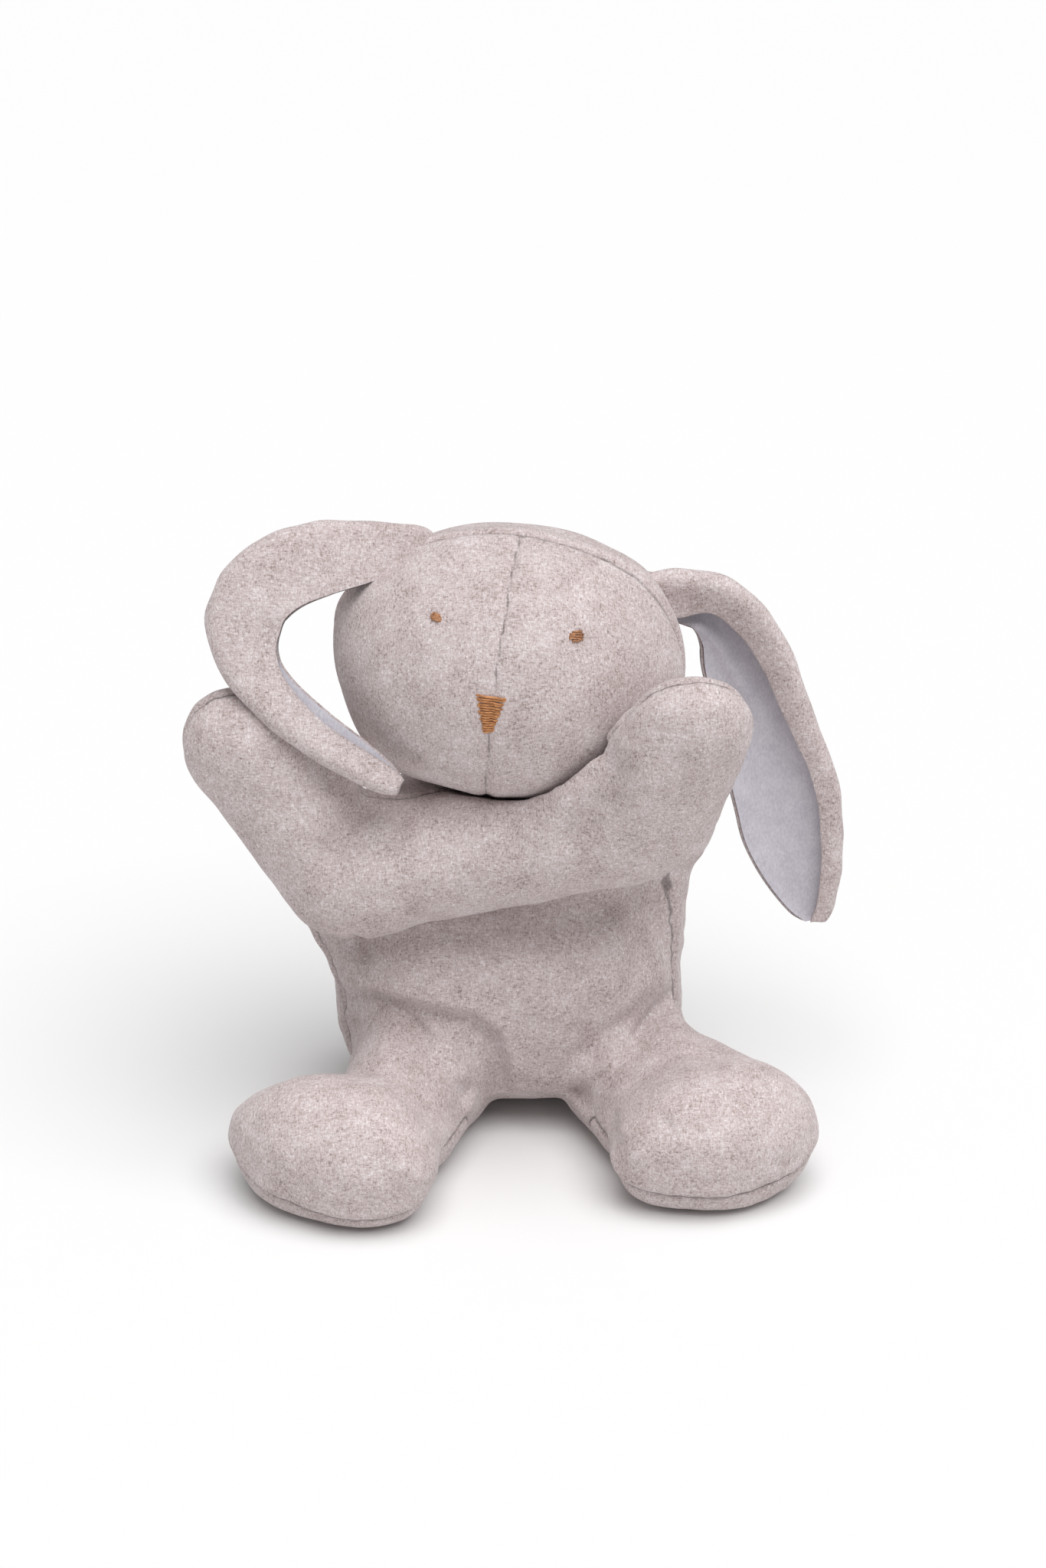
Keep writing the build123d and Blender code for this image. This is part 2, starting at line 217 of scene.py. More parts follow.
def head_shape(p):
    """The stuffed head: an egg with a seam down the face and one over the crown."""
    middle, crown = head_seams(p)
    pucker = 1 + 0.3 * waves(p, 6, 4)
    front = soft_step(-crown / 4)
    d = head_bare(p) + 0.35 * waves(p, 26, 3)
    d = d + 0.5 * SEAM_DEEP * pucker * groove(middle, FACE_SEAM_WIDE) * front
    d = d - 0.3 * groove(np.abs(middle) - 4, 3) * front
    d = d + SEAM_DEEP * pucker * groove(crown, CROWN_SEAM_WIDE)
    return d - 0.5 * groove(np.abs(crown) - 4, 3.5)


# ---- the glove body ---------------------------------------------------------------------
# The bag of the body in level slices: its height, how far it reaches left and right, and its
# front and back.
BELLY_HEIGHTS = [0, 10, 20, 34, 52, 64, 76, 86, 95, 106, 116]
BELLY_LEFT = [50, 58, 62, 65, 66, 70, 75, 76, 75, 70, 62]
BELLY_RIGHT = [50, 58, 62, 65, 65, 65, 65, 66, 69, 72, 62]
BELLY_FRONT = [-9, -28, -40, -44, -46, -46, -42, -35, -29, -30, -30]
BELLY_BACK = [36, 40, 42, 42, 42, 40, 36, 32, 29, 26, 22]
BELLY_TOP = 116.0
SIDE_SEAM = -16.0         # the side seams run up the body this far forward of its middle
FLOOR_ROUND = 6.0

LEFT_ARM = ((-58, -37, 110), (-88, -36, 155))
LEFT_ARM_CORNER = (-98.5, -36, 162)
RIGHT_ARM = ((52, -46, 137), (62.5, -70, 180))
LEFT_FLAT = (0, 1, 0.05)  # the way each mitten is thin
RIGHT_FLAT = (-0.1, 1, 0.42)
LEFT_FOOT = np.array([-62.5, -83, 22])
RIGHT_FOOT = np.array([74.0, -76, 23])
LEFT_FOOT_HALF = (42, 27, 25)
RIGHT_FOOT_HALF = (38.5, 26, 25)
LEFT_SPLAY = math.radians(-28)
RIGHT_SPLAY = math.radians(16)
SOLE_SEAM = 9.0           # height of the seam round the sole at the toes
SOLE_RISE = 0.28          # how fast it rises from there to the ankles
TOES, ANKLES = -104.0, -76.0
SOLE_FULL = 0.72          # below its middle a foot narrows this much more slowly than an egg

# Where each limb is parted from the torso, the way it leaves, and how far the fold at its root reaches.
CUTS = {
    "left_arm": (np.array([-46.0, -36, 108]), unit((-0.70, 0, 0.71)), 36.0),
    "right_arm": (np.array([38.0, -45, 137]), unit((0.42, -0.30, 0.86)), 36.0),
    "left_leg": (np.array([-30.0, -43, 42]), unit((-0.60, -0.72, -0.33)), 30.0),
    "right_leg": (np.array([31.0, -43, 42]), unit((0.60, -0.72, -0.33)), 30.0),
}

# Soft creases in the front, each a line seen from the front as (x, z), its depth and its width.
# A negative depth is the swelling beside a crease.
CREASES = [
    ([(-62, 51), (-49, 57), (-32, 56), (-15, 53), (-7, 46), (-4, 33), (-3, 22)], 3.6, 3.8),
    ([(-62, 55), (-49, 61), (-32, 60), (-13, 57), (-2, 48), (1, 33)], -2.0, 5.0),
    ([(-34, 48), (-26, 37), (-17, 25)], 3.2, 4.2),
    ([(-46, 46), (-38, 34), (-28, 20)], -1.4, 5.0),
    ([(67, 53), (53, 46), (42, 37), (33, 28), (26, 20)], 3.8, 3.6),
    ([(64, 46), (53, 38), (44, 30)], -1.2, 4.0),
    ([(56, 38), (43, 29), (30, 19)], 1.8, 2.6),
    ([(52, 53), (38, 47), (24, 36)], 1.0, 4.0),
    ([(-44, 152), (-53, 140), (-64, 126)], 3.0, 6.5),
    ([(-60, 150), (-72, 130)], -1.0, 8.0),
    ([(37, 168), (31, 152), (21, 136)], 3.6, 6.0),
    ([(-60, 76), (-30, 80), (10, 84), (45, 91)], 1.4, 5.5),
    ([(-56, 92), (-54, 82), (-52, 72)], 1.2, 2.2),
]


def soft_step(x):
    """0 below zero, 1 above one, and smooth between."""
    x = np.clip(x, 0, 1)
    return x * x * (3 - 2 * x)


def belly(p):
    """The bag of the body: a rounded box that changes with height, closed at its top."""
    x, z = p[..., 0], p[..., 2]
    left = smooth_curve(z, BELLY_HEIGHTS, BELLY_LEFT)
    right = smooth_curve(z, BELLY_HEIGHTS, BELLY_RIGHT)
    front = smooth_curve(z, BELLY_HEIGHTS, BELLY_FRONT)
    back = smooth_curve(z, BELLY_HEIGHTS, BELLY_BACK)
    w, deep = (left + right) / 2, (back - front) / 2
    u, v = np.abs((x - (right - left) / 2) / w), np.abs((p[..., 1] - (front + back) / 2) / deep)
    d = ((u**2.5 + v**2.5) ** (1 / 2.5) - 1) * np.minimum(w, deep) * 0.95
    side = soft_step((np.abs(x) - 36) / 14) * soft_step((104 - z) / 12)
    narrower = side * soft_step((SIDE_SEAM - p[..., 1]) / 3)
    d = d + narrower * (1.2 + 3.0 * soft_step((z - 55) / 35))
    return keep_both(d, z - BELLY_TOP, 16)


def band(p):
    """Chest and both arms, one long padded roll across the front."""
    chest = limb(p, (-40, -34, 113), (34, -38, 131), (0, 1, -0.25), (24, 25), (27, 27))
    shoulders = limb(p, (-30, -12, 114), (26, -12, 122), (0, 1, 0), (22, 22), (26, 26))
    left = limb(p, *LEFT_ARM, LEFT_FLAT, (25.3, 24.5), (22, 15))
    corner = limb(p, LEFT_ARM[1], LEFT_ARM_CORNER, LEFT_FLAT, (18, 17.5), (14, 13))
    left = blend_in(left, corner, 8)
    right = limb(p, *RIGHT_ARM, RIGHT_FLAT, (21.5, 22), (21, 15))
    d = blend_in(chest, shoulders, 14)
    root = limb(p, (20, -52, 139), (48, -69, 171), (0, 1, 0), (14, 13.5), (14, 12))
    d = blend_in(d, left, 12)
    return blend_in(blend_in(d, right, 12), root, 8)


def above_sole(p):
    """Height above the seam between a foot's upper and its sole."""
    return p[..., 2] - SOLE_SEAM - SOLE_RISE * (np.minimum(p[..., 1], ANKLES) - TOES)


def foot(p, centre, half, splay):
    """A big soft foot, its upper and its sole sewn together near the floor."""
    c, s = math.cos(splay), math.sin(splay)
    q = p - centre
    tall = np.where(q[..., 2] < 0, SOLE_FULL * q[..., 2], q[..., 2])
    q = np.stack([q[..., 0] * c + q[..., 1] * s, q[..., 1] * c - q[..., 0] * s, tall], -1)
    above = above_sole(p)
    return stretched(q, np.array(half)) - 0.5 * groove(above - 4, 3) + 0.6 * soft_step(-above / 3)


def left_leg(p):
    """The left thigh and foot."""
    thigh = limb(p, (-31, -25, 24), (-45, -70, 18), (0, 0, 1), (27, 22), (31, 21))
    leg = blend_in(thigh, foot(p, LEFT_FOOT, LEFT_FOOT_HALF, LEFT_SPLAY), 8)
    return leg + bumps(p, [((-86, -66, 37), 2.6, 14.0), ((-26, -98, 16), 4.0, 15.0)])


def right_leg(p):
    """The right thigh and foot."""
    thigh = limb(p, (43, -24, 21), (58, -65, 18), (0, 0, 1), (25, 22), (27, 20))
    outer = limb(p, (58, -28, 26), (84, -66, 27), (0, 0, 1), (15, 19), (15, 18))
    thigh = blend_in(thigh, outer, 10)
    return blend_in(thigh, foot(p, RIGHT_FOOT, RIGHT_FOOT_HALF, RIGHT_SPLAY), 8)


def limb_plane(p, ends, across):
    """Distance from the plane in which a mitten's front and back panels are sewn together."""
    return (p - np.mean(ends, axis=0)) @ unit(across)


def body_seam(p):
    """Signed distance to the seam between front and back: up the sides, round the arms and soles."""
    d = p[..., 1] - SIDE_SEAM
    raised = soft_step((p[..., 2] - 84) / 16)
    for name, ends, across in (("left_arm", LEFT_ARM, LEFT_FLAT), ("right_arm", RIGHT_ARM, RIGHT_FLAT)):
        start, way, _ = CUTS[name]
        share = soft_step(((p - start) @ way + 14) / 28) * raised
        d = d + (limb_plane(p, ends, across) - d) * share
    footed = soft_step((-38 - p[..., 1]) / 16) * soft_step((60 - p[..., 2]) / 20)
    return d + (-above_sole(p) - d) * footed


def creases(p):
    """How far the soft creases in the front pull in."""
    seen = np.stack([p[..., 0], p[..., 2]], -1)
    total = np.zeros(seen.shape[:-1])
    for line, deep, wide in CREASES:
        total += deep * groove(line_distance(seen, line), wide)
    return total * soft_step((-14 - p[..., 1]) / 14)


def body_shape(p):
    """The whole glove skin."""
    fold_here = soft_step((p[..., 1] + 28) / 26)
    d = blend_in(belly(p), band(p), 1.5 + 14 * fold_here)
    d = blend_in(d, blend_in(left_leg(p), right_leg(p), 1), 5)
    d = keep_both(d, 1.2 - head_bare(p), 3)
    pucker = 1 + 0.3 * waves(p, 6, 7)
    d = d + SEAM_DEEP * pucker * groove(body_seam(p), BODY_SEAM_WIDE)
    d = d + creases(p) + 0.45 * waves(p, 34, 5) + 0.16 * waves(p, 11, 6)
    return keep_both(d, -p[..., 2], FLOOR_ROUND)


# ---- from a shape to a mesh ----------------------------------------------------------------
CELL_CORNERS = [(i, j, k) for i in (0, 1) for j in (0, 1) for k in (0, 1)]


def sampled(shape, low, high, step):
    """The shape's values on a grid between two corners."""
    axes = [np.arange(a, b + step, step) for a, b in zip(low, high)]
    field = np.empty([len(a) for a in axes])
    for i, x in enumerate(axes[0]):
        y, z = np.meshgrid(axes[1], axes[2], indexing="ij")
        field[i] = shape(np.stack([np.full_like(y, x), y, z], -1))
    return field


def crossed_cells(inside):
    """The grid cells that have corners on both sides of the surface."""
    n = inside.shape
    count = sum(
        inside[i:n[0] - 1 + i, j:n[1] - 1 + j, k:n[2] - 1 + k].astype(np.int8)
        for i, j, k in CELL_CORNERS
    )
    return (count > 0) & (count < 8)


def cell_points(field, cells):
    """For each of these cells the mean of the places where the surface cuts its edges, in cells."""
    total, hits = np.zeros((len(cells), 3)), np.zeros(len(cells))
    for a in CELL_CORNERS:
        for axis in range(3):
            if a[axis]:
                continue
            b = tuple(1 if q == axis else a[q] for q in range(3))
            fa, fb = field[tuple((cells + a).T)], field[tuple((cells + b).T)]
            cut = (fa < 0) != (fb < 0)
            t = fa[cut] / (fa[cut] - fb[cut])
            total[cut] += np.array(a) + t[:, None] * (np.array(b) - np.array(a))
            hits[cut] += 1
    return cells + total / hits[:, None]


def net_quads(inside, number):
    """A quad for each grid edge that the surface cuts, between the points of the four cells there."""
    n = inside.shape
    quads = []
    for axis in range(3):
        u, v = (axis + 1) % 3, (axis + 2) % 3
        near = np.take(inside, range(n[axis] - 1), axis)
        far = np.take(inside, range(1, n[axis]), axis)
        edges = np.argwhere(near != far)
        edges = edges[(edges[:, u] > 0) & (edges[:, v] > 0)]
        edges = edges[(edges[:, u] < n[u] - 1) & (edges[:, v] < n[v] - 1)]
        ring = []
        for du, dv in ((-1, -1), (0, -1), (0, 0), (-1, 0)):
            cell = edges.copy()
            cell[:, u] += du
            cell[:, v] += dv
            ring.append(number[tuple(cell.T)])
        ring = np.array(ring).T
        flip = ~near[tuple(edges.T)]
        ring[flip] = ring[flip, ::-1]
        quads.append(ring)
    return np.concatenate(quads)


def surface_net(shape, low, high, step):
    """Points and quads of a shape's surface: one point in each grid cell that it crosses."""
    field = sampled(shape, low, high, step)
    inside = field < 0
    crossed = crossed_cells(inside)
    number = np.full(crossed.shape, -1)
    number[crossed] = np.arange(crossed.sum())
    points = np.array(low) + cell_points(field, np.argwhere(crossed)) * step
    return points, net_quads(inside, number)


def slopes(shape, points, e=0.35):
    """The shape's value and gradient at each point."""
    g = np.empty_like(points)
    for axis in range(3):
        step = np.zeros(3)
        step[axis] = e
        g[:, axis] = (shape(points + step) - shape(points - step)) / (2 * e)
    return shape(points), g


def settle(shape, points, quads, rounds=3):
    """Evens out the points and puts them exactly on the surface. Returns the points and normals."""
    pairs = np.concatenate([quads[:, [i, (i + 1) % 4]] for i in range(4)])
    degree = np.bincount(pairs[:, 0], minlength=len(points))[:, None]
    for _ in range(rounds):
        mean = np.zeros_like(points)
        np.add.at(mean, pairs[:, 0], points[pairs[:, 1]])
        points = points + 0.5 * (mean / np.maximum(degree, 1) - points)
        for _ in range(2):
            value, g = slopes(shape, points)
            points = points - (value / ((g * g).sum(1) + 1e-9))[:, None] * g
    value, g = slopes(shape, points)
    return points, g / (np.linalg.norm(g, axis=1)[:, None] + 1e-9)


def new_piece(name, points, faces, normals=None):
    """A mesh object from points in millimetres."""
    mesh = bpy.data.meshes.new(name)
    mesh.from_pydata((np.asarray(points) * MM).tolist(), [], [list(map(int, f)) for f in faces])
    mesh.update()
    mesh.polygons.foreach_set("use_smooth", [True] * len(mesh.polygons))
    if normals is not None:
        mesh.normals_split_custom_set_from_vertices(np.asarray(normals).tolist())
    piece = bpy.data.objects.new(name, mesh)
    bpy.context.collection.objects.link(piece)
    return piece


def open_skin(name, points, normals, quads, thickness=CLOTH, seam=None):
    """A piece of cloth from part of a skin: its outside, its inside, and a rim round every edge.

    seam gives the signed distance to the nearest seam, which the wool's material draws as a fine line of
    painted shade, standing in for the shade in the seam's narrow groove.
    """
    used = np.unique(quads)
    renumber = np.full(len(points), -1)
    renumber[used] = np.arange(len(used))
    out = renumber[quads]
    p, n = points[used], normals[used]
    deep = np.broadcast_to(thickness, len(points))[used][:, None]
    m = len(used)
    half = np.concatenate([out[:, [i, (i + 1) % 4]] for i in range(4)])
    key = half[:, 0] * m + half[:, 1]
    other = half[:, 1] * m + half[:, 0]
    rim = half[~np.isin(key, other)]
    sides = np.stack([rim[:, 1], rim[:, 0], rim[:, 0] + m, rim[:, 1] + m], 1)
    faces = np.concatenate([out, out[:, ::-1] + m, sides])
    piece = new_piece(name, np.concatenate([p, p - n * deep]), faces, np.concatenate([n, -n]))
    if seam is not None:
        line = piece.data.attributes.new("seam", "FLOAT", "POINT")
        away = seam(p) + SEAM_ZERO
        line.data.foreach_set("value", np.concatenate([away, np.zeros(m)]).astype(np.float32))
    return piece


def snap_to_edge(shape, points, edge, rounds=4):
    """Slides the points close to an opening's edge onto it, keeping them on the surface."""
    close = np.abs(edge(points)) < 0.7 * GRID
    chosen = points[close]
    for _ in range(rounds):
        value, g = slopes(edge, chosen)
        chosen = chosen - (value / ((g * g).sum(1) + 1e-9))[:, None] * g
        value, g = slopes(shape, chosen)
        chosen = chosen - (value / ((g * g).sum(1) + 1e-9))[:, None] * g
    points[close] = chosen
    return points


# ---- the skin of the body and the head -------------------------------------------------------
SKIN_LOW, SKIN_HIGH = (-122, -118, -4), (118, 50, 208)   # a box round the whole glove
LEG_TOP = 72.0            # above this height a piece of skin can belong to an arm, below it to a leg
ARCH_STRAIGHT = 24.0      # the hand's arch is straight up to here,
ARCH_TOP = 50.0           # ends here
ARCH_HALF = 34.0          # and is this wide to each side
HEM_REACH = 9             # how far the facing reaches from the arch, by hand_arch's measure
HEM_BEHIND = 12           # and it lies only behind here
HEM_GAP = 0.3
HEM_THICK = 1.2


def hand_arch(p):
    """Negative inside the arch that the hand goes in by, low in the back."""
    x, z = np.abs(p[..., 0]), p[..., 2]
    rise = np.maximum(z - ARCH_STRAIGHT, 0) / (ARCH_TOP - ARCH_STRAIGHT)
    round_part = (np.sqrt((x / ARCH_HALF) ** 2 + rise**2) - 1) * 28
    return np.maximum(round_part, 14 - p[..., 1])


def body_seam_even(p):
    """The distance to the body's seam, true to scale where two stretches of seam run together."""
    value, g = slopes(body_seam, p)
    return value / np.maximum(np.sqrt((g * g).sum(-1)), 0.2)


def neck_hole(p):
    """Negative inside the round hole at the top of the body."""
    ring = np.hypot(p[..., 0] - NECK[0], p[..., 1] - NECK[1]) - NECK_HOLE
    return np.maximum(ring, NECK_HOLE_FROM - p[..., 2])


def head_hole(p):
    """Negative inside the hole under the head."""
    return np.sqrt(((p - NECK) ** 2).sum(-1)) - HEAD_HOLE


def limb_numbers(middles):
    """The number in CUTS, from 1, of the limb that each quad belongs to, and 0 for the torso."""
    limb_of = np.zeros(len(middles), int)
    for number, (name, (start, way, _)) in enumerate(CUTS.items(), 1):
        own_side = middles[:, 0] * start[0] > 0
        own_height = (middles[:, 2] < LEG_TOP) == ("leg" in name)
        limb_of[((middles - start) @ way > 0) & own_side & own_height] = number
    return limb_of


def hem_facing(points, normals, quads):
    """The strip of cotton behind the edge of the hand's arch, a guess: the photo doesn't show it.
    """
    hem = open_skin("hem_facing", points - normals * (CLOTH + HEM_GAP), normals, quads, HEM_THICK)
    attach(hem, "torso")
    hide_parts("opening_hem")
    return hem


def body_pieces():
    """The torso and the four limbs, cut from one skin so that they meet without a line."""
    points, quads = surface_net(body_shape, SKIN_LOW, SKIN_HIGH, GRID)
    points, normals = settle(body_shape, points, quads)
    for edge in (hand_arch, neck_hole):
        points = snap_to_edge(body_shape, points, edge)
        quads = quads[edge(points[quads].mean(1)) > 0]
    _, normals = slopes(body_shape, points)
    normals /= np.linalg.norm(normals, axis=1)[:, None]
    middles = points[quads].mean(1)
    limb_of = limb_numbers(middles)
    torso = open_skin("torso_skin", points, normals, quads[limb_of == 0], seam=body_seam_even)
    pieces = {"torso": torso}
    for number, (name, (start, way, reach)) in enumerate(CUTS.items(), 1):
        own = quads[limb_of == number]
        piece = open_skin(f"{name}_skin", points, normals, own, seam=body_seam_even)
        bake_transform(piece)
        pieces[name] = piece
    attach(pieces["torso"], "torso")
    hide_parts("torso_front", "torso_back", "seat_panel")
    for side in ("left", "right"):
        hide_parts(f"{side}_arm_front", f"{side}_arm_back")
        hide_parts(f"{side}_leg_upper", f"{side}_leg_sole")
    by_arch = (hand_arch(middles) < HEM_REACH) & (middles[:, 1] > HEM_BEHIND)
    pieces["hem"] = hem_facing(points, normals, quads[(limb_of == 0) & by_arch])
    return pieces


def head_piece():
    """The head's skin, open underneath where the neck goes in."""
    points, quads = surface_net(head_shape, head_low - 5, head_high + 5, GRID)
    points, normals = settle(head_shape, points, quads)
    points = snap_to_edge(head_shape, points, head_hole)
    quads = quads[head_hole(points[quads].mean(1)) > 0]
    _, normals = slopes(head_shape, points)
    normals /= np.linalg.norm(normals, axis=1)[:, None]
    piece = open_skin("head_skin", points, normals, quads, seam=head_seam)
    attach(piece, "head")
    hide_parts("head_front_left", "head_front_right", "head_back")
    return piece


# ---- the ears ------------------------------------------------------------------------------
# Stations along each ear from its root, in millimetres from the root: the middle of its folded
# width (x, y, z), the folded width, how much of the width its front leaf covers, how far the back
# leaf sticks out past the front one, and the room between the two leaves.
LEFT_EAR = [
    (7, 4, -5, 9, 1.0, 0, 0.6),
    (0, -2, -2, 13, 1.0, 0, 1.0),
    (-14, -4, -5, 21, 1.0, 0, 2.2),
    (-30, -8, -6, 26, 1.0, 0, 3.0),
    (-45, -12, -10, 27.5, 1.0, 0, 3.2),
    (-55, -16, -18, 27.5, 1.0, 0, 3.2),
    (-58.5, -20, -29, 26, 1.0, 0, 3.0),
    (-56, -25, -40, 20.5, 1.0, 0.5, 2.4),
    (-48.5, -31, -50, 16, 1.0, 2.5, 1.8),
    (-34.5, -38, -61, 13, 1.0, 4, 1.2),
    (-19.5, -44, -68.5, 11.5, 1.0, 3, 0.8),
    (-8.5, -47.5, -73.5, 10, 1.0, 1, 0.5),
    (-3, -49, -76, 6, 1.0, 0, 0.3),
]
RIGHT_EAR = [
    (-13, 3, -7.5, 14, 1.0, 0, 1.0),
    (-6.5, 2, -10.5, 17, 1.0, 1, 1.6),
    (4, 2, -11.5, 20.5, 0.84, 1, 2.0),
    (15.5, 2, -15, 24, 0.52, 0, 2.2),
    (24.5, 2, -25.5, 28, 0.38, 0, 2.2),
    (29.5, 2, -39.5, 33, 0.27, 0, 2.0),
    (34.5, 2, -56, 35, 0.22, 0, 1.8),
    (39.5, 2, -73, 37.5, 0.16, 0, 1.5),
    (44.5, 2, -90, 39, 0.14, 0, 1.3),
    (47.5, 2, -106, 37, 0.14, 0, 1.2),
    (51.5, 2, -122, 29, 0.16, 0, 0.9),
    (55, 2, -135, 18, 0.25, 0, 0.5),
    (56.5, 2, -141, 9, 0.5, 0, 0.3),
]
EAR_WOOL = 2.2            # thickness of each layer, and of both with a thin gap between them
EAR_LINING = 1.0
EAR_GAP = 0.1
EAR_WALL = EAR_WOOL + EAR_LINING + EAR_GAP
EAR_STEPS = 120           # points along an ear and across it
EAR_ACROSS = 56


def even_steps(rows, count):
    """Smooth values at count even steps along a list of given stations."""
    rows = np.asarray(rows, float)
    at, t = np.arange(len(rows)), np.linspace(0, len(rows) - 1, count)
    return np.stack([smooth_curve(t, at, column) for column in rows.T], -1)


def ear_inside(stations, root, facing, side, bow, trim):
    """The inside of a folded ear as a grid of points, from the back leaf round the bend to the front.

    bow is how far the back leaf curves away, trim how much shorter this layer is at its edges.
    """
    rows = even_steps(stations, EAR_STEPS)
    centre = root + rows[:, :3]
    width, cover, stick, room = (rows[:, [c]] for c in (3, 4, 5, 6))
    along = np.gradient(centre, axis=0)
    along /= np.linalg.norm(along, axis=1)[:, None]
    out = side * np.cross(unit(facing), along)
    out /= np.linalg.norm(out, axis=1)[:, None]
    near = np.cross(along, out) * side
    s = np.linspace(-1, 1, EAR_ACROSS)[None]
    full = np.maximum(width - EAR_WALL, 0.8)
    leaf = np.maximum(np.where(s > 0, full * cover, full + stick) - trim, 0.4)
    inward = leaf * (1 - np.cos(np.abs(s) * math.pi / 2))
    lift = np.sign(s) * room * (1 - (1 - np.abs(s)) ** 4) * np.where(s > 0, 1 - 0.4 * s**4, 1)
    across = np.clip(inward / full, 0, 1)
    tall = np.sin(np.linspace(0, math.pi, EAR_STEPS))[:, None] ** 0.7
    lift = lift - bow * tall * np.sin(across * math.pi) * np.where(s > 0, 0.4, 1)
    t = np.linspace(0, 1, EAR_STEPS)[:, None]
    fold = groove(across - (0.95 - 1.5 * (t - 0.22)), 0.10)
    fold = fold * soft_step((t - 0.16) / 0.1) * soft_step((0.6 - t) / 0.15)
    lift = lift + np.where(s < 0, 0.45 * bow * fold, 0)
    points = centre[:, None] + out[:, None] * (width / 2 - EAR_WALL - inward)[..., None]
    points = points + near[:, None] * lift[..., None]
    return points, out


def ear_layer(name, stations, root, facing, side, bow, gap, thick, trim):
    """One layer of an ear, gap away from the fold's inside, thinner towards its sewn edges."""
    grid, out = ear_inside(stations, root, facing, side, bow, trim)
    normal = np.cross(np.gradient(grid, axis=1), np.gradient(grid, axis=0))
    normal /= np.linalg.norm(normal, axis=2)[..., None] + 1e-9
    middle = EAR_ACROSS // 2
    if (normal[EAR_STEPS // 2, middle] @ out[EAR_STEPS // 2]) < 0:
        normal = -normal
    s = np.abs(np.linspace(-1, 1, EAR_ACROSS))[None]
    t = np.abs(np.linspace(-1, 1, EAR_STEPS))[:, None]
    full = thick * np.sqrt(np.clip(1 - 0.85 * np.maximum(s**14, t**60), 0.02, 1))
    points = (grid + normal * (gap + full)[..., None]).reshape(-1, 3)
    points = points + normal.reshape(-1, 3) * (0.35 * waves(points, 16, 8) * (thick / EAR_WOOL))[:, None]
    index = np.arange(EAR_STEPS * EAR_ACROSS).reshape(EAR_STEPS, EAR_ACROSS)
    quads = np.stack([index[:-1, :-1], index[1:, :-1], index[1:, 1:], index[:-1, 1:]], -1)
    quads = quads.reshape(-1, 4)
    normals = normal.reshape(-1, 3)
    a, b, c = (points[quads[:, i]] for i in (0, 1, 2))
    if (np.cross(b - a, c - a) * normals[quads[:, 0]]).sum() < 0:
        quads = quads[:, ::-1]
    return open_skin(name, points, normals, quads, full.reshape(-1))


def ears():
    """Both ears: wool outside, smooth lining inside, sewn along their edges.

    The flat size and area listed for them aren't the photo's: what was read there is smaller, about 155
    x 50 mm.
    """
    made = {"wool": [], "lining": []}
    for name, stations, facing, side, bow, flat, area in (
        ("left_ear", LEFT_EAR, (0, -0.90, 0.44), -1, 0.8, (0.060, 0.175), 0.0078),
        ("right_ear", RIGHT_EAR, (0, -1, 0), 1, 4.0, (0.060, 0.175), 0.0078),
    ):
        root = pivot(f"{name}_lift")
        shape = (stations, root, facing, side, bow)
        wool = ear_layer(f"{name}_wool", *shape, EAR_LINING + EAR_GAP, EAR_WOOL, 0.0)
        lining = ear_layer(f"{name}_smooth", *shape, 0.0, EAR_LINING, 0.7)
        for piece, layer, kind in ((wool, "outer", "wool"), (lining, "lining", "lining")):
            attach(piece, name)
            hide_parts(f"{name}_{layer}")
            made[kind].append(piece)
    return made


# ---- embroidery --------------------------------------------------------------------------------
THREAD = 0.43             # radius of one laid thread
NOSE_ROWS = 15
NOSE_ASIDE = -1.6         # the nose sits this far beside the middle of the face
NOSE_TOP, NOSE_TALL = 6.8, 13.2
NOSE_WIDE, NOSE_NARROW = 5.1, 1.6    # half its width at the top and at the bottom
EYE_ROWS = 5
EYE_HEIGHT = 28.0
# Each eye's place across the face, half its width and half its height.
EYES = (("left_eye", -24.5, 2.1, 0.85), ("right_eye", 24.5, 2.5, 1.3))


def on_head(x, z):
    """The place on the front of the head at x, z in the head's own axes, and the way out of it."""
    depth = HEAD_HALF[1] * math.sqrt(1 - (x / HEAD_HALF[0]) ** 2 - (z / HEAD_HALF[2]) ** 2)
    p = (HEAD + np.array([x, -depth, z]) @ HEAD_AXES)[None]
    for _ in range(4):
        value, g = slopes(head_shape, p)
        p = p - (value / (g * g).sum(1))[:, None] * g
    return p[0], unit(slopes(head_shape, p)[1][0])


def laid_thread(start, end, rise):
    """Points and quads of one thread that bows over the cloth from start to end and dips in there."""
    steps, ring = 9, 7
    points = []
    for i in range(steps):
        t = i / (steps - 1)
        place, up = on_head(start[0] + (end[0] - start[0]) * t, start[1] + (end[1] - start[1]) * t)
        run = unit(on_head(end[0] + 0.01, end[1])[0] - on_head(start[0], start[1])[0])
        over = unit(np.cross(up, run))
        middle = place + up * (rise * math.sin(math.pi * t) ** 0.5 - 0.25)
        for k in range(ring):
            a = 2 * math.pi * k / ring
            points.append(middle + THREAD * (math.cos(a) * over + math.sin(a) * up))
    quads = [
        (i * ring + k, i * ring + (k + 1) % ring, (i + 1) * ring + (k + 1) % ring, (i + 1) * ring + k)
        for i in range(steps - 1)
        for k in range(ring)
    ]
    caps = [tuple(range(ring))[::-1], tuple((steps - 1) * ring + k for k in range(ring))]
    return points, quads + caps


def stitched(name, rows, rise):
    """A patch of satin stitch from rows of (start, end) in the head's axes."""
    points, faces = [], []
    for start, end in rows:
        new_points, new_faces = laid_thread(start, end, rise)
        faces += [tuple(i + len(points) for i in face) for face in new_faces]
        points += new_points
    piece = new_piece(name, points, faces)
    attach(piece, "head")
    return piece


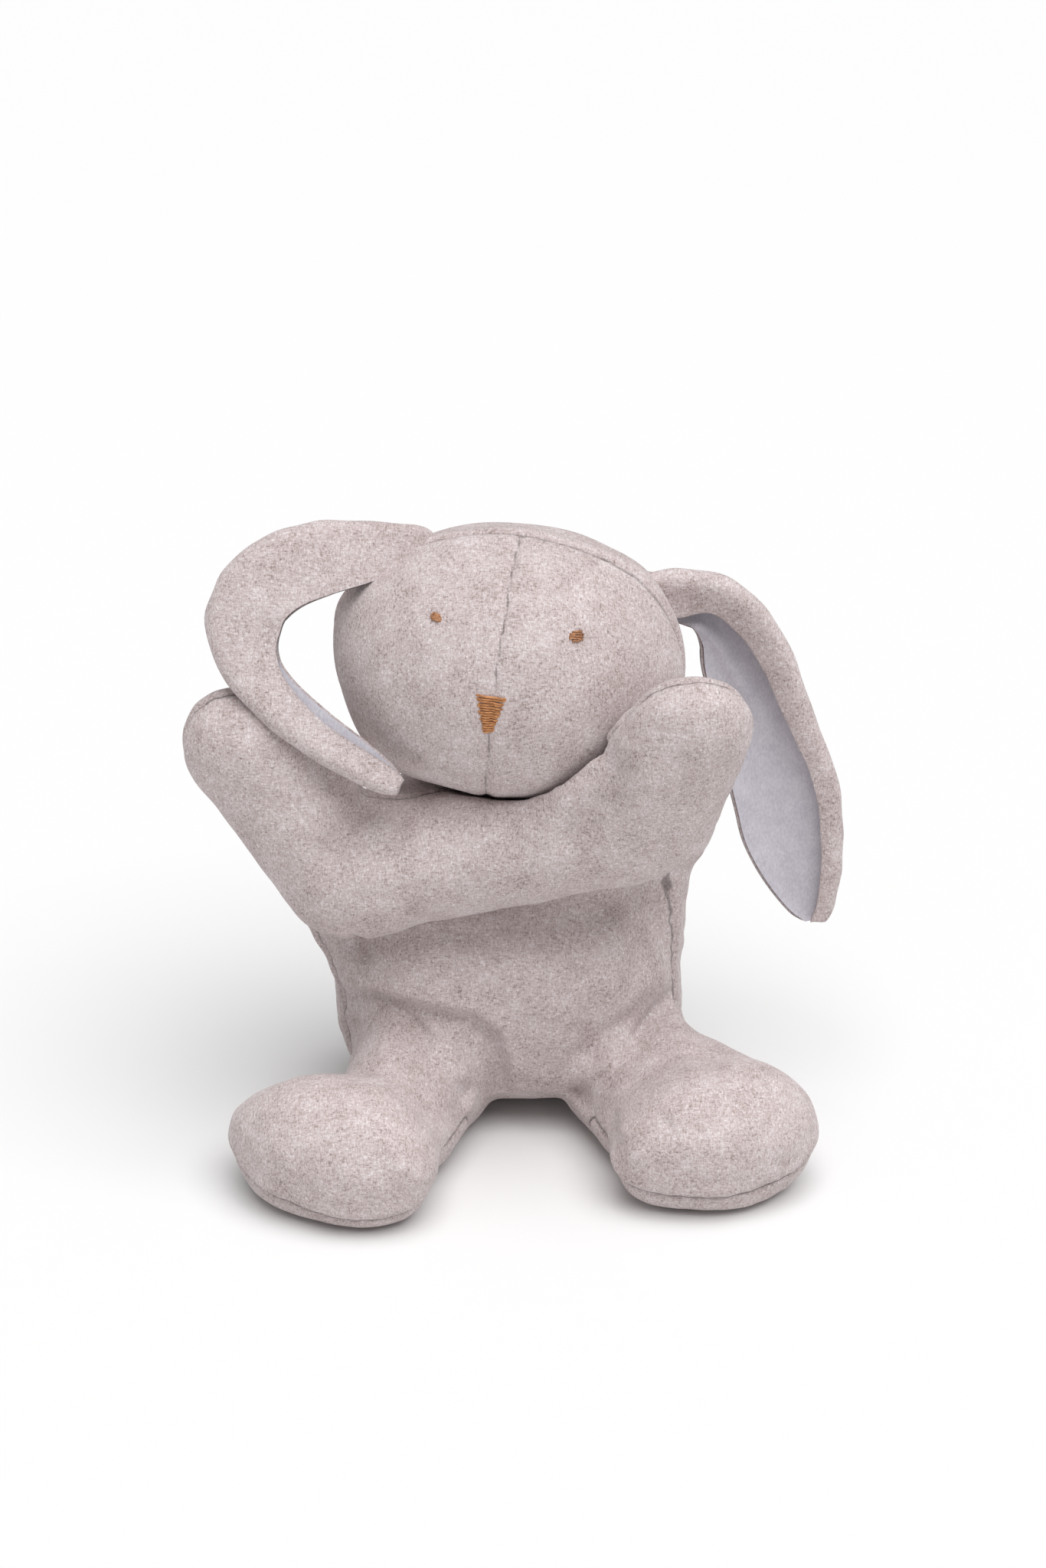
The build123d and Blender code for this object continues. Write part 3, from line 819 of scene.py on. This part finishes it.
def embroidery():
    """The nose, a wedge of level threads, and two small round eyes."""
    rng = np.random.default_rng(21)
    rows = []
    for i in range(NOSE_ROWS):
        t = i / (NOSE_ROWS - 1)
        half = NOSE_WIDE * (1 - t) + NOSE_NARROW * t + rng.uniform(-0.4, 0.4)
        z = NOSE_TOP - NOSE_TALL * t
        tilt = rng.uniform(-0.22, 0.22)
        rows.append(((-half + NOSE_ASIDE, z + tilt), (half + NOSE_ASIDE, z - tilt)))
    nose = stitched("nose_stitches", rows, 0.85)
    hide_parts("nose")
    made = [nose]
    for name, x, half_wide, half_high in EYES:
        rows = []
        for i in range(EYE_ROWS):
            t = 2 * i / (EYE_ROWS - 1) - 1
            half = half_wide * math.sqrt(1 - 0.55 * t * t) + rng.uniform(-0.35, 0.25)
            z, tilt = EYE_HEIGHT + half_high * t, rng.uniform(-0.1, 0.5)
            rows.append(((x - half, z + tilt), (x + half, z - tilt)))
        eye = stitched(f"{name}_stitches", rows, 0.8)
        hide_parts(name)
        made.append(eye)
    return made


# ---- what is inside ------------------------------------------------------------------------------
FILL_GRID = 3.0
FILL_GAP = 3.6            # from the outside of the cloth to the filling
FILL_FROM = 18            # a leg's filling starts this far past its cut from the torso


def filling(name, shape, low, high, body, node):
    """A closed lump of loose fibre."""
    points, quads = surface_net(shape, low, high, FILL_GRID)
    points, normals = settle(shape, points, quads, 2)
    piece = new_piece(name, points, quads, normals)
    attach(piece, body)
    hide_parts(node)
    return piece


def head_filling():
    """Fibre round the finger pocket."""
    pocket_low, pocket_high = box_mm("finger_pocket")
    pocket_radius = (pocket_high[0] - pocket_low[0]) / 2 + 0.6
    top = np.array([NECK[0], pocket_low[1] + pocket_radius, pocket_high[2] - pocket_radius])

    def shape(p):
        d = head_bare(p) + FILL_GAP + 0.8 + 0.5 * waves(p, 12, 31)
        t = np.clip((p - NECK) @ (top - NECK) / ((top - NECK) @ (top - NECK)), -0.4, 1)
        pocket = np.sqrt(((p - NECK - t[..., None] * (top - NECK)) ** 2).sum(-1)) - pocket_radius
        neck = np.sqrt(((p - NECK) ** 2).sum(-1)) - 25
        return np.maximum(np.maximum(d, -pocket), -neck)

    return filling("head_fibre", shape, head_low - 2, head_high + 2, "head", "head_stuffing")


def leg_filling(side, leg):
    """Fibre in a foot and the lower thigh, ending short of the hip."""
    start, way, _ = CUTS[f"{side}_leg"]

    def shape(p):
        d = np.maximum(keep_both(leg(p), -p[..., 2], FLOOR_ROUND), body_shape(p))
        return keep_both(d + FILL_GAP + 0.4 * waves(p, 12, 32), (start + way * FILL_FROM - p) @ way, 5)

    low, high = box_mm(f"{side}_leg_upper", f"{side}_leg_sole")
    low, high = low - (12, 12, 4), high + (12, 8, 12)
    return filling(f"{side}_foot_fibre", shape, low, high, f"{side}_leg", f"{side}_leg_stuffing")


def neck_cloth():
    """A pleated band of wool between the body and the head, part of a ball about the neck's pivot.

    The photo doesn't show it.
    """
    around, up = 150, 12
    outer, low, high = 20.8, -15.5, 2.0
    a = np.linspace(0, 2 * math.pi, around, endpoint=False)[:, None]
    z = np.linspace(low, high, up)[None]
    pleats = 0.5 * np.sin(22 * a + 2 * np.sin(3 * a)) * (1 - (z - low) / (high - low) * 0.5)
    r = np.sqrt(outer**2 - z**2) - 0.5 + pleats
    points = np.stack([r * np.cos(a), r * np.sin(a), np.broadcast_to(z, r.shape)], -1)
    points = points.reshape(-1, 3) + NECK
    i = np.arange(around * up).reshape(around, up)
    j = np.roll(i, -1, axis=0)
    quads = np.stack([i[:, :-1], j[:, :-1], j[:, 1:], i[:, 1:]], -1).reshape(-1, 4)
    normals = points - NECK
    normals /= np.linalg.norm(normals, axis=1)[:, None]
    piece = open_skin("neck_cloth", points, normals, quads, 1.8)
    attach(piece, "neck")
    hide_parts("neck_sleeve")
    return piece


# ---- camera and light ----------------------------------------------------------------------------
SKY = 0.38                # strength of the light from the whole sky
TOP_LIGHT = 2.8           # and of the soft light from above
LIGHT_FROM = (0.18, -0.30, 1.0)
LIGHT_SPREAD = math.radians(55)
CAMERA_RISE = math.radians(25)
CAMERA_AWAY = 1330 * MM
CAMERA_TARGET = Vector((5, -30, 141)) * MM
SENSOR_TALL, LENS = 36, 85
FLOOR_SIZE = 60           # metres, so that its edge is far off in low views
FLOOR_PLACE = (0, 2, -0.0004)    # metres, a hair below the soles
FLOOR_GREY = (0.82, 0.82, 0.82, 1)
WHITE = (1, 1, 1, 1)


def camera():
    """The photograph's view: from the front and 25 degrees above."""
    rise = CAMERA_RISE
    eye = bpy.data.objects.new("camera", bpy.data.cameras.new("camera"))
    bpy.context.collection.objects.link(eye)
    eye.location = CAMERA_TARGET + Vector((0, -math.cos(rise), math.sin(rise))) * CAMERA_AWAY
    eye.rotation_euler = (math.pi / 2 - rise, 0, 0)
    eye.data.sensor_fit = "VERTICAL"
    eye.data.sensor_height = SENSOR_TALL
    eye.data.lens = LENS
    eye.data.clip_end = 20
    bpy.context.scene.camera = eye


def light_sky(tree):
    """A dim white sky that still looks white behind the floor's edge."""
    lighting = tree.nodes["Background"]
    lighting.inputs["Color"].default_value = WHITE
    lighting.inputs["Strength"].default_value = SKY
    backdrop = tree.nodes.new("ShaderNodeBackground")
    backdrop.inputs["Color"].default_value = WHITE
    ray = tree.nodes.new("ShaderNodeLightPath")
    pick = tree.nodes.new("ShaderNodeMixShader")
    tree.links.new(ray.outputs["Is Camera Ray"], pick.inputs[0])
    tree.links.new(lighting.outputs[0], pick.inputs[1])
    tree.links.new(backdrop.outputs[0], pick.inputs[2])
    tree.links.new(pick.outputs[0], tree.nodes["World Output"].inputs["Surface"])


def studio():
    """A pale floor under a pale sky, with one very soft light from above."""
    bpy.ops.mesh.primitive_plane_add(size=FLOOR_SIZE, location=FLOOR_PLACE)
    floor = bpy.context.object
    floor.name = "floor"
    paint = bpy.data.materials.new("floor_paint")
    paint.use_nodes = True
    shader = paint.node_tree.nodes["Principled BSDF"]
    shader.inputs["Base Color"].default_value = FLOOR_GREY
    shader.inputs["Roughness"].default_value = 0.9
    floor.data.materials.append(paint)
    world = bpy.data.worlds.new("studio")
    bpy.context.scene.world = world
    world.use_nodes = True
    light_sky(world.node_tree)
    light = bpy.data.lights.new("soft_top", "SUN")
    light.energy = TOP_LIGHT
    light.angle = LIGHT_SPREAD
    holder = bpy.data.objects.new("soft_top", light)
    holder.rotation_euler = Vector(LIGHT_FROM).to_track_quat("Z", "Y").to_euler()
    bpy.context.collection.objects.link(holder)
    bpy.context.scene.view_settings.view_transform = "Standard"


# ---- materials -----------------------------------------------------------------------------------
class Finish:
    """A material built on one Principled shader, with the puppet's own coordinates in metres."""

    def __init__(self, name, roughness, sheen=0.0, sheen_roughness=0.5, specular=0.25):
        self.material = bpy.data.materials.new(name)
        self.material.use_nodes = True
        self.tree = self.material.node_tree
        self.shader = self.tree.nodes["Principled BSDF"]
        self.shader.inputs["Roughness"].default_value = roughness
        self.shader.inputs["Specular IOR Level"].default_value = specular
        self.shader.inputs["Sheen Weight"].default_value = sheen
        self.shader.inputs["Sheen Roughness"].default_value = sheen_roughness
        self.place = self.tree.nodes.new("ShaderNodeTexCoord").outputs["Object"]

    def link(self, source, target):
        """Joins an output to an input."""
        self.tree.links.new(source, target)

    def noise(self, scale, detail=2.0, stretch=(1, 1, 1), turn=(0, 0, 0), distortion=0.0):
        """Noise with features of about 1 / scale metres, drawn out along an axis by stretch."""
        mapping = self.tree.nodes.new("ShaderNodeMapping")
        mapping.inputs["Scale"].default_value = stretch
        mapping.inputs["Rotation"].default_value = turn
        self.link(self.place, mapping.inputs["Vector"])
        noise = self.tree.nodes.new("ShaderNodeTexNoise")
        noise.inputs["Scale"].default_value = scale
        noise.inputs["Detail"].default_value = detail
        noise.inputs["Roughness"].default_value = 0.6
        noise.inputs["Distortion"].default_value = distortion
        self.link(mapping.outputs["Vector"], noise.inputs["Vector"])
        return noise.outputs["Fac"]

    def sum(self, *parts):
        """A weighted sum of (output, weight) pairs."""
        total = None
        for output, weight in parts:
            scaled = self.tree.nodes.new("ShaderNodeMath")
            scaled.operation = "MULTIPLY_ADD"
            self.link(output, scaled.inputs[0])
            scaled.inputs[1].default_value = weight
            scaled.inputs[2].default_value = 0.0
            if total is not None:
                self.link(total, scaled.inputs[2])
            total = scaled.outputs["Value"]
        return total

    def colours(self, value, *stops):
        """Base colour from a value through (position, colour) stops."""
        ramp = self.tree.nodes.new("ShaderNodeValToRGB").color_ramp
        node = self.tree.nodes[-1]
        ends = (ramp.elements[0], ramp.elements[-1])
        for element, (position, colour) in zip(ends, (stops[0], stops[-1])):
            element.position, element.color = position, (*colour, 1)
        for position, colour in stops[1:-1]:
            ramp.elements.new(position).color = (*colour, 1)
        self.link(value, node.inputs["Fac"])
        self.link(node.outputs["Color"], self.shader.inputs["Base Color"])

    def painted_seam_shade(self, core, edge, dark):
        """Paints shade into the colour within core millimetres of a seam, for the shade in its narrow
        groove, fading out by edge millimetres.
        """
        away = self.tree.nodes.new("ShaderNodeAttribute")
        away.attribute_name = "seam"
        from_seam = self.tree.nodes.new("ShaderNodeMath")
        from_seam.operation = "SUBTRACT"
        self.link(away.outputs["Fac"], from_seam.inputs[0])
        from_seam.inputs[1].default_value = SEAM_ZERO
        size = self.tree.nodes.new("ShaderNodeMath")
        size.operation = "ABSOLUTE"
        self.link(from_seam.outputs["Value"], size.inputs[0])
        share = self.tree.nodes.new("ShaderNodeMapRange")
        share.interpolation_type = "SMOOTHSTEP"
        for label, value in (("From Min", core), ("From Max", edge), ("To Min", dark), ("To Max", 1.0)):
            share.inputs[label].default_value = value
        self.link(size.outputs["Value"], share.inputs["Value"])
        colour = self.shader.inputs["Base Color"].links[0].from_socket
        darker = self.tree.nodes.new("ShaderNodeVectorMath")
        darker.operation = "SCALE"
        self.link(colour, darker.inputs[0])
        self.link(share.outputs["Result"], darker.inputs["Scale"])
        self.link(darker.outputs["Vector"], self.shader.inputs["Base Color"])

    def bump(self, value, strength, distance):
        """Small relief from a value, distance metres high."""
        node = self.tree.nodes.new("ShaderNodeBump")
        node.inputs["Strength"].default_value = strength
        node.inputs["Distance"].default_value = distance
        self.link(value, node.inputs["Height"])
        self.link(node.outputs["Normal"], self.shader.inputs["Normal"])


def wool_fleece():
    """Napped melange wool: fine light and dark fibres lying every way, and thin lines of painted shade
    along the seams.
    """
    f = Finish("wool_fleece", 0.95, sheen=0.25, sheen_roughness=0.4, specular=0.1)
    one_way = f.noise(2300, 3, (1, 0.22, 0.3), (0.3, 0.5, 0.2), 0.8)
    other_way = f.noise(2100, 3, (0.25, 1, 0.8), (0.9, 0.1, 0.7), 0.8)
    specks = f.noise(1150, 4, distortion=0.6)
    patches = f.noise(90, 4)
    value = f.sum((one_way, 0.31), (other_way, 0.31), (specks, 0.22), (patches, 0.16))
    f.colours(value, (0.40, (0.30, 0.235, 0.22)), (0.47, (0.53, 0.445, 0.435)),
              (0.53, (0.635, 0.55, 0.55)), (0.62, (0.85, 0.79, 0.80)))
    # painted shade: a thin dark line along each seam, standing in for the shade in its groove
    f.painted_seam_shade(0.15, 0.75, 0.5)
    f.bump(f.sum((one_way, 0.5), (other_way, 0.5), (specks, 0.5)), 0.6, 0.0007)
    return f.material


def ear_lining():
    """Smooth brushed cotton, a little cooler and lighter than the wool."""
    f = Finish("ear_lining", 0.85, sheen=0.2, sheen_roughness=0.5, specular=0.15)
    fine = f.noise(1500, 2, (1, 0.6, 0.5), (0.2, 0.1, 0.4))
    soft = f.noise(160, 3)
    value = f.sum((fine, 0.6), (soft, 0.4))
    f.colours(value, (0.36, (0.50, 0.475, 0.53)), (0.64, (0.64, 0.615, 0.665)))
    f.bump(fine, 0.25, 0.0003)
    return f.material


def facing_cotton():
    """Plain-woven cotton for the hem's facing and the finger pocket."""
    f = Finish("facing_cotton", 0.9, sheen=0.1, specular=0.15)
    warp = f.noise(900, 1, (1, 0.2, 0.2))
    weft = f.noise(900, 1, (0.2, 0.2, 1))
    value = f.sum((warp, 0.5), (weft, 0.5))
    f.colours(value, (0.38, (0.42, 0.38, 0.37)), (0.62, (0.60, 0.55, 0.54)))
    f.bump(value, 0.3, 0.0003)
    return f.material


def thread(name, dark, light):
    """Shiny embroidery thread with its twist showing as fine light and dark strands."""
    f = Finish(name, 0.42, sheen=0.15, specular=0.45)
    strands = f.noise(2600, 2, (0.35, 1, 1))
    uneven = f.noise(420, 2)
    value = f.sum((strands, 0.7), (uneven, 0.3))
    f.colours(value, (0.38, dark), (0.62, light))
    f.bump(strands, 0.4, 0.0002)
    return f.material


def loose_fibre():
    """Off-white polyester filling."""
    f = Finish("fibre_stuffing", 0.9, sheen=0.2, specular=0.1)
    fluff = f.noise(300, 5, distortion=1.2)
    f.colours(fluff, (0.35, (0.66, 0.66, 0.64)), (0.65, (0.90, 0.90, 0.88)))
    f.bump(fluff, 0.6, 0.002)
    return f.material


def dress(pieces, material):
    """Gives pieces their material."""
    for piece in pieces:
        piece.data.materials.clear()
        piece.data.materials.append(material)


# ---- the scene -------------------------------------------------------------------------------------
camera()
studio()
body = body_pieces()
head = head_piece()
ear_pieces = ears()
nose_piece, *eye_pieces = embroidery()
fillings = [head_filling(), leg_filling("left", left_leg), leg_filling("right", right_leg)]
hem_piece = body.pop("hem")

dress([*body.values(), head, neck_cloth(), *ear_pieces["wool"]], wool_fleece())
dress(ear_pieces["lining"], ear_lining())
cotton = facing_cotton()
dress([hem_piece], cotton)
pocket = bpy.data.objects["finger_pocket"]
pocket.data.materials.clear()
pocket.data.materials.append(cotton)
dress([nose_piece], thread("nose_thread", (0.27, 0.09, 0.02), (0.66, 0.30, 0.11)))
dress(eye_pieces, thread("eye_thread", (0.17, 0.065, 0.03), (0.58, 0.28, 0.13)))
dress(fillings, loose_fibre())
